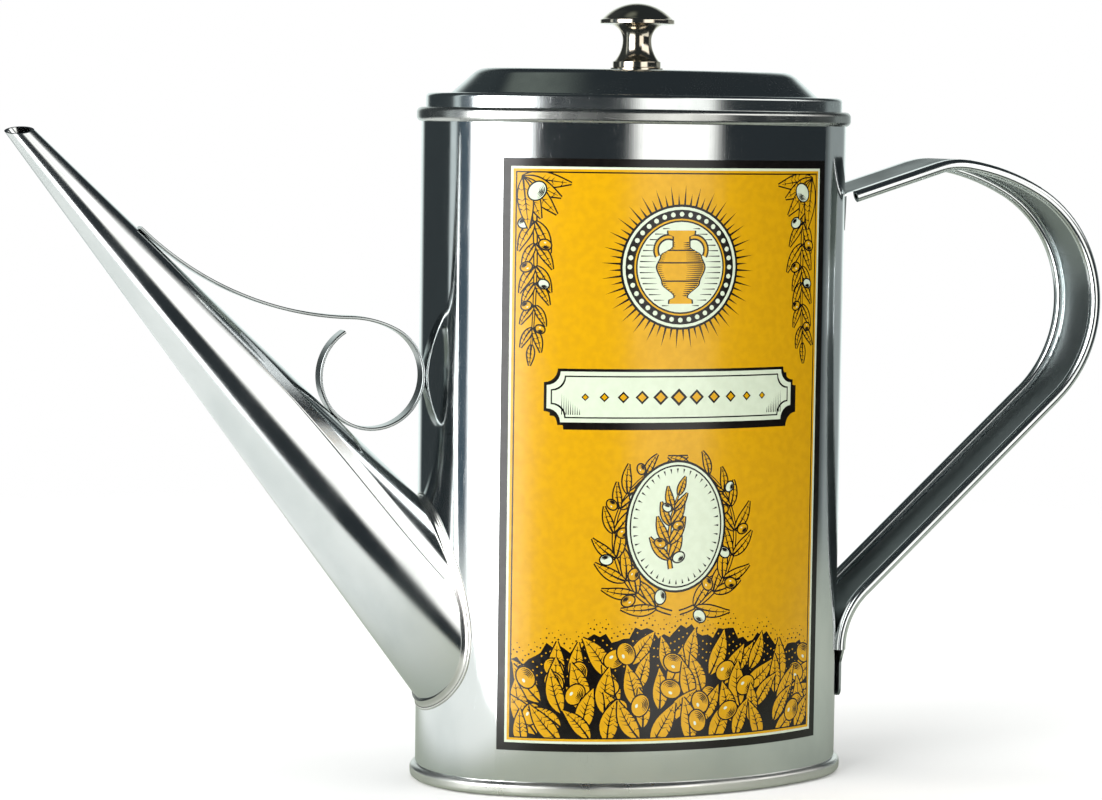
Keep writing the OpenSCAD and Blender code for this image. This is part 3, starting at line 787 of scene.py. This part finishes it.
def tablet(art, middle, half, tall):
    """Blank cream tablet with scooped corners, an inner line and a row of lozenges."""
    scoop = 3.4

    def shape(inset, shift=0.0):
        u, v, r = half - inset, tall / 2 - inset, scoop
        points = []
        for k, (x, y) in enumerate(((1, 1), (-1, 1), (-1, -1), (1, -1))):
            turns = [math.pi * (1.5 + k / 2) - math.pi / 2 * i / 6 for i in range(7)]
            points += [Vector((middle[0] + x * u + r * math.cos(a) + shift,
                               middle[1] + y * v + r * math.sin(a) - shift)) for a in turns]
        return points

    art.append(("black", shape(-0.5, 1.3)))
    for ink_name, inset in (("black", -0.7), ("cream", 0.0), ("black", 1.0), ("cream", 1.35)):
        art.append((ink_name, shape(inset)))
    for k in range(-5, 6):
        x, size = middle[0] + 4.7 * k, 2.2 - 0.25 * abs(k)
        for ink_name, grow in (("black", 1.0), ("ochre", 0.62)):
            art.append((ink_name, [Vector((x + dx * size * grow, middle[1] + dy * size * grow)) for dx, dy in
                                   ((-1, 0), (0, -1), (1, 0), (0, 1))]))
    for side in (-1, 1):
        for k in range(9):
            x = middle[0] + side * (half - 8.0 + 0.55 * k)
            foot = middle[1] - tall / 2 + 1.9
            art.append(("black", [Vector((x, foot)), Vector((x + 0.26, foot)), Vector((x + 0.13, foot + 1.5 + 0.5 * k))]))


def cartouche(art, middle, chance):
    """Upright oval with an olive sprig, in a wreath of two twigs."""
    x, y = middle
    for side in (-1, 1):
        twig(art, (x + side * 1.0, y - 21.5), math.pi / 2 - side * 1.35, 50, side * 2.6, 8, 9.4, chance)
    for ink_name, grow in (("black", 1.9), ("cream", 1.3), ("black", 0.7), ("cream", 0.3)):
        art.append((ink_name, oval(middle, 11.4 + grow, 14.6 + grow, 0, 48)))
    for k in range(40):
        a = 2 * math.pi * k / 40
        rim = Vector((x + 11.2 * math.cos(a), y + 14.4 * math.sin(a)))
        art.append(("black", [rim + way(a + 1.57) * 0.25, rim - way(a + 1.57) * 0.25, rim - way(a) * 1.3]))
    twig(art, (x - 1.5, y - 10.5), 1.75, 18.5, -0.55, 4, 8.2, chance)


def leaf_bed(art, chance):
    """Heap of leaves and olives over black ground along the foot of the panel, highest in its middle."""
    rim = PANEL_HALF - 3.5
    top = lambda u: 21 + 9 * math.cos(1.4 * u / rim) + 1.4 * math.sin(u * 0.55) + 0.8 * math.sin(u * 1.7)
    steps = 56
    crest = [Vector((-rim + 2 * rim * i / steps, top(-rim + 2 * rim * i / steps))) for i in range(steps + 1)]
    for row in range(3):
        for i in range(steps):
            spot = crest[i] + Vector((0.6 * (row % 2), 1.2 + 1.15 * row))
            art.append(("black", oval(spot, 0.30 - 0.07 * row, 0.30 - 0.07 * row, 0, 4)))
    art.append(("black", crest + [Vector((rim, 2.6)), Vector((-rim, 2.6))]))
    for i in range(38):
        for j in range(2, 8):
            u = -rim + 1.2 + 2.15 * i + 1.05 * (j % 2)
            v = top(u) - 1.05 * j + 0.6
            art.append(("ochre", oval((u, v), 0.26, 0.26, 0, 4)))
    rows = 5
    for row in range(rows):
        count = 12 - (row % 2)
        for k in range(count):
            u = (k + 0.5) * 2 * rim / count - rim + chance.uniform(-1.4, 1.4)
            v = 3.2 + (top(u) - 8.0) * (1 - (row + 0.6) / rows) + chance.uniform(-1.0, 1.0)
            lean = math.pi / 2 - 0.9 * u / rim + chance.uniform(-0.75, 0.75)
            long = chance.uniform(9.0, 12.5)
            start = Vector((max(-rim + 2.5, min(rim - 2.5, u)), v)) - way(lean) * long * 0.3
            leaf(art, start, lean, long, long * chance.uniform(0.32, 0.42), chance.uniform(-0.5, 0.5), "ochre", 5)
            if chance.random() < 0.45:
                spot = Vector((u + chance.uniform(-3, 3), v + chance.uniform(0, 4)))
                olive(art, spot, chance.uniform(0, 3.1), 5.4, 4.2, "ochre")


def panel_artwork():
    """Generic olive harvest design: jar emblem, blank tablet, wreathed sprig and a bed of leaves."""
    chance = random.Random(12)
    art = [("cream", inset_box(2.0)), ("ochre", inset_box(2.6)), ("black", inset_box(3.2)),
           ("ochre", inset_box(3.55))]
    top = PANEL_TALL - 4.6
    for side in (-1, 1):
        twig(art, (side * 36.6, top - 8.0), -math.pi / 2 - side * 0.06, 33, side * 0.14, 6, 8.6, chance)
        for k, turn in enumerate((0.12, 0.46, 0.80, 1.13, 1.45)):
            base = (side * (PANEL_HALF - 4.6 - 0.1 * k), top - 0.07 * k)
            leaf(art, base, math.pi + turn if side > 0 else -turn, 12.5 - 1.5 * (k % 2), 3.6, 0.0, "ochre", 5)
        olive(art, (side * 36.0, top - 3.4), -side * 0.8, 4.8, 3.8, "cream")
    jar_emblem(art, (0.0, 120.0))
    leaf_bed(art, chance)
    cartouche(art, (0.0, 56.0), chance)
    tablet(art, (0.0, 88.0), 33.0, 12.5)
    for ink_name, outer, inner in (("black", 0.0, 2.0), ("cream", 2.0, 2.6), ("ochre", 2.6, 3.2),
                                   ("black", 3.2, 3.55)):
        border(art, ink_name, outer, inner)
    return art


def signed_area(outline):
    return sum(a[0] * b[1] - b[0] * a[1] for a, b in zip(outline, outline[1:] + outline[:1])) / 2


def cut_artwork(art, columns=4, rows=14, strips=8):
    """Triangles of the artwork as (three points, ink). It is cut tile by tile, each a few strips wide, and
    the last outline laid shows. Every outline has to run anticlockwise."""
    art = [(ink_name, o if signed_area(o) > 0 else o[::-1]) for ink_name, o in art]
    boxes = [(min(p[0] for p in o), max(p[0] for p in o), min(p[1] for p in o), max(p[1] for p in o))
             for _, o in art]
    wide, tall = 2 * PANEL_HALF / columns, PANEL_TALL / rows
    triangles = []
    for column in range(columns):
        for row in range(rows):
            left, low = -PANEL_HALF + wide * column, tall * row
            outlines = [[(left + wide * (i + di) / strips, low + tall * dj) for di, dj in
                         ((0, 0), (1, 0), (1, 1), (0, 1))] for i in range(strips)]
            inks = [0] * strips
            for (ink_name, outline), (u0, u1, v0, v1) in zip(art, boxes):
                if u0 < left + wide and u1 > left and v0 < low + tall and v1 > low:
                    outlines.append(outline)
                    inks.append(INKS.index(ink_name))
            verts, faces = [], []
            for outline in outlines:
                faces.append(list(range(len(verts), len(verts) + len(outline))))
                verts += [Vector(p) for p in outline]
            flat, _, cut, _, _, laid = delaunay_2d_cdt(verts, [], faces, 1, 1e-5, True)
            triangles += [([flat[i] for i in tri], inks[max(under)]) for tri, under in zip(cut, laid)
                          if under and min(under) < strips]
    return triangles


def make_panel(finishes):
    """One closed sheet, bent to the can's front, with the artwork's outlines cut into its face."""
    def place(u, v, lift):
        a, radius = u / PANEL_RADIUS, SIDE_RADIUS + lift
        return Vector((radius * math.sin(a), SIDE_CENTRE - radius * math.cos(a), PANEL_LOW.z + v)) * MM

    work = bmesh.new()
    for tri, ink_number in cut_artwork(panel_artwork()):
        corners = [work.verts.new(place(p.x, p.y, PANEL_THICK)) for p in tri]
        work.faces.new(corners).material_index = ink_number
    bmesh.ops.remove_doubles(work, verts=work.verts, dist=2e-7)
    bmesh.ops.dissolve_limit(work, angle_limit=math.radians(0.4), verts=work.verts, edges=work.edges,
                             delimit={"MATERIAL"})
    rim = {}
    for e in [e for e in work.edges if e.is_boundary]:
        ends = []
        for v in e.verts:
            if v not in rim:
                out = Vector((v.co.x, v.co.y - SIDE_CENTRE * MM, 0)).normalized()
                rim[v] = work.verts.new(v.co - out * PANEL_THICK * MM)
            ends.append(rim[v])
        work.faces.new((e.verts[0], e.verts[1], ends[1], ends[0]))
    low, high = (PANEL_LOW.z + 0.01) * MM, (PANEL_HIGH.z - 0.01) * MM
    lower = sorted((v for v in rim.values() if v.co.z < low), key=lambda v: v.co.x)
    upper = sorted((v for v in rim.values() if v.co.z > high), key=lambda v: v.co.x)
    upright = sorted((v for v in rim.values() if low < v.co.z < high), key=lambda v: v.co.z)
    left, right = [v for v in upright if v.co.x < 0], [v for v in upright if v.co.x > 0]
    last = len(lower) - 2
    for i in range(last + 1):
        work.faces.new([lower[i]] + (left if i == 0 else []) + [upper[i], upper[i + 1]]
                       + (right[::-1] if i == last else []) + [lower[i + 1]])
    bmesh.ops.recalc_face_normals(work, faces=work.faces)
    mesh = bpy.data.meshes.new("printed_panel")
    work.to_mesh(mesh)
    work.free()
    for ink_name in INKS:
        mesh.materials.append(finishes[ink_name])
    new_piece("printed_panel", mesh, "can", "label")
    normals = []
    for face in mesh.polygons:
        out = Vector((face.center.x, face.center.y - SIDE_CENTRE * MM, 0)).normalized()
        curved = abs(face.normal.dot(out)) > 0.9
        for i in face.loop_indices:
            at = mesh.vertices[mesh.loops[i].vertex_index].co
            round_out = Vector((at.x, at.y - SIDE_CENTRE * MM, 0)).normalized()
            normals.append(round_out * (1 if face.normal.dot(out) > 0 else -1) if curved else face.normal)
    mesh.normals_split_custom_set(normals)


def dress(node, finish):
    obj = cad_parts[node]
    obj.data.materials.clear()
    obj.data.materials.append(finish)


SWEEP = sweep_tree()
set_camera()
set_studio()
set_floor()

body_metal = polished_metal("polished_tinplate", "E6E9E9", "D5DADA", 0.09)
rim_metal = polished_metal("rolled_tinplate_rim", "CCCECB", "B4B6B2", 0.24, draw=(6, 6, 0.35))
base_metal = polished_metal("rolled_tinplate_base", "F4F4F0", "E4E4DF", 0.34, draw=(6, 6, 0.35))
lid_metal = polished_metal("polished_lid_tinplate", "DEE3E3", "CCD2D2", 0.17)
spout_metal = polished_metal("polished_spout_tinplate", "E6E9E9", "D5DADA", 0.13,
                             turn=(0, math.radians(-41.6), 0), scratches=0.06)
solder_metal = polished_metal("bright_solder", "E6E5E2", "D2CCC6", 0.2, draw=(1.2, 1.2, 1.2), lines=0.02, scratches=0.0)
brace_metal = polished_metal("brace_strip_tinplate", "A9AEAE", "8E9494", 0.16, draw=(20, 0.6, 20))
strap_metal = polished_metal("strap_tinplate", "E4E8E8", "D4DADA", 0.13, draw=(30, 0.8, 30), lines=0.0003, scratches=0.03)
paint_shade_on_web(strap_metal)
nickel = polished_metal("nickel_plate", "E4DAC9", "CBBDA6", 0.11, draw=(8, 8, 0.3), dents=0.0, scratches=0.1)
panel_inks = {"black": enamel("black_litho_enamel", "0D0A08", "120E0A"),
              "ochre": enamel("ochre_litho_enamel", "DCA609", "D39E06"),
              "cream": enamel("cream_litho_enamel", "DCE8D0", "D6E2C9")}

make_top_rim(rim_metal)
make_base(base_metal)
make_lid(lid_metal)
make_lid_ring(lid_metal)
make_spout(spout_metal)
make_spout_seam(spout_metal)
make_solder_collar(solder_metal)
make_brace(brace_metal)
make_knob(nickel)
make_panel(panel_inks)
for node, finish in (("body_shell", body_metal), ("handle_strip", strap_metal),
                     ("knob_washer", nickel), ("knob_screw", nickel)):
    dress(node, finish)

bpy.context.scene.view_settings.view_transform = "Standard"
